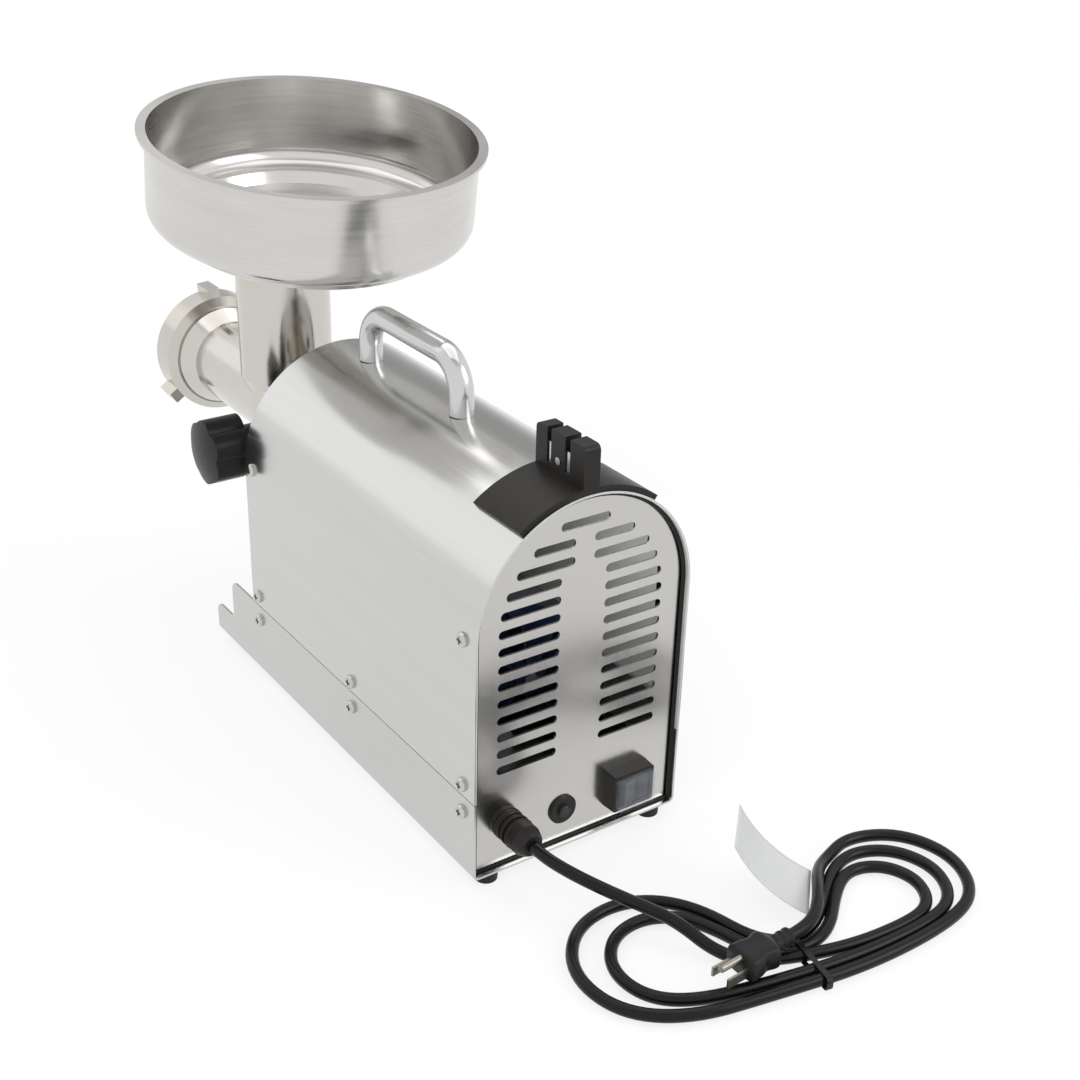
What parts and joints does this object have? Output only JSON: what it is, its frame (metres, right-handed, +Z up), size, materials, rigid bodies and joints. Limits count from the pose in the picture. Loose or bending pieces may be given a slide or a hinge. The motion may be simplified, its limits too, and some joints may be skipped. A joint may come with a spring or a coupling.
{
  "type": "electric meat grinder",
  "caption": "Countertop electric meat grinder: arched steel motor housing with bow handle, cast grinding head with ring nut, round hopper pan and tied power cord.",
  "frame": {"origin": "bottom centre of the machine's bounding box, without the free cord, on the floor under the feet", "axes": "+X to the clamp knob side, +Y towards the rear panel with the switch, +Z up; the grinding head points to -Y"},
  "size_m": [0.3214, 0.7399, 0.4167],
  "materials": {
    "stainless_sheet": "satin",
    "zinc_steel": "satin",
    "steel_fastener": "polished",
    "chrome_bar": "polished",
    "polished_casting": "polished",
    "machined_steel": "machined",
    "motor_paint": "satin",
    "cast_aluminium": "cast",
    "copper_winding": "enamelled",
    "black_rubber": "matte",
    "black_plastic": "satin",
    "dark_button": "glossy",
    "clear_cap": "clear plastic",
    "brass_blade": "bright",
    "white_paper": "matte paper"
  },
  "bodies": {
    "base": {"base_tray": "stainless_sheet", "housing_cover": "stainless_sheet", "rear_panel": "stainless_sheet", "front_plate": "stainless_sheet", "rail_left": "zinc_steel", "rail_right": "zinc_steel", "rubber_feet": "black_rubber", "foot_screws": "steel_fastener", "cover_screws": "steel_fastener", "base_screws": "steel_fastener", "carry_handle": "chrome_bar", "handle_bolts": "steel_fastener", "sharpener_body": "black_plastic", "sharpener_blades": "machined_steel", "sharpener_pin": "steel_fastener", "switch_frame": "black_plastic", "switch_body": "black_plastic", "switch_cap": "clear_cap", "breaker_body": "black_plastic", "breaker_collar": "black_plastic", "gland_body": "black_plastic", "gland_cap": "black_plastic", "power_cord_lead": "black_rubber", "power_cord_hank": "black_rubber", "power_cord_tail": "black_rubber", "power_plug": "black_rubber", "plug_blades": "brass_blade", "cord_tie": "black_plastic", "cord_tag": "white_paper", "motor_casing": "motor_paint", "motor_end_bell": "motor_paint", "stator_core": "zinc_steel", "stator_windings": "copper_winding", "ball_bearings": "zinc_steel", "motor_cradle": "stainless_sheet", "run_capacitor": "black_plastic", "capacitor_strap": "zinc_steel", "gearbox_housing": "cast_aluminium", "gearbox_lid": "cast_aluminium", "oil_seal": "black_rubber", "gearbox_bolts": "steel_fastener", "head_collar": "polished_casting", "collar_bolts": "steel_fastener"},
    "rotor": {"rotor_core": "zinc_steel", "rotor_shaft": "machined_steel", "cooling_fan": "black_plastic"},
    "lay": {"layshaft": "machined_steel", "layshaft_gear": "machined_steel"},
    "output": {"output_gear": "machined_steel", "output_shaft": "machined_steel"},
    "head": {"head_casting": "polished_casting", "grinder_plate": "machined_steel"},
    "feed_screw": {"auger": "machined_steel", "grinder_knife": "machined_steel"},
    "nut": {"ring_nut": "polished_casting"},
    "pan": {"hopper_pan": "stainless_sheet"},
    "knob": {"clamp_screw": "steel_fastener", "clamp_knob": "black_plastic"},
    "rocker": {"switch_rocker": "dark_button"},
    "button": {"reset_button": "dark_button"}
  },
  "joints": [
    {"name": "rotor_spin", "type": "hinge", "parent": "base", "child": "rotor", "pos_m": [0, 0, 0.10045], "axis": [0, 1, 0], "continuous": true},
    {"name": "layshaft_spin", "type": "hinge", "parent": "base", "child": "lay", "pos_m": [0, 0, 0.13645], "axis": [0, 1, 0], "continuous": true},
    {"name": "output_spin", "type": "hinge", "parent": "base", "child": "output", "pos_m": [0, 0, 0.1802], "axis": [0, 1, 0], "continuous": true},
    {"name": "head_pull", "type": "slide", "parent": "base", "child": "head", "axis": [0, -1, 0], "range_m": [0, 0.045]},
    {"name": "auger_spin", "type": "hinge", "parent": "head", "child": "feed_screw", "pos_m": [0, 0, 0.1802], "axis": [0, 1, 0], "continuous": true},
    {"name": "ring_nut_turn", "type": "hinge", "parent": "head", "child": "nut", "pos_m": [0, -0.26695, 0.1802], "axis": [0, 1, 0], "continuous": true},
    {"name": "pan_lift", "type": "slide", "parent": "head", "child": "pan", "axis": [0, 0, 1], "range_m": [0, 0.05]},
    {"name": "clamp_knob_turn", "type": "hinge", "parent": "base", "child": "knob", "pos_m": [0.06, -0.07395, 0.1802], "axis": [1, 0, 0], "continuous": true},
    {"name": "switch_rock", "type": "hinge", "parent": "base", "child": "rocker", "pos_m": [-0.04015, 0.26325, 0.0363], "axis": [0, 0, 1], "range_deg": [-18, 0]},
    {"name": "reset_press", "type": "slide", "parent": "base", "child": "button", "axis": [0, -1, 0], "range_m": [0, 0.0025], "stiffness_N_per_m": 400}
  ],
  "couplings": [
    {"joint": "layshaft_spin", "follows": "rotor_spin", "ratio": -0.2},
    {"joint": "output_spin", "follows": "rotor_spin", "ratio": 0.05},
    {"joint": "auger_spin", "follows": "rotor_spin", "ratio": 0.05}
  ]
}
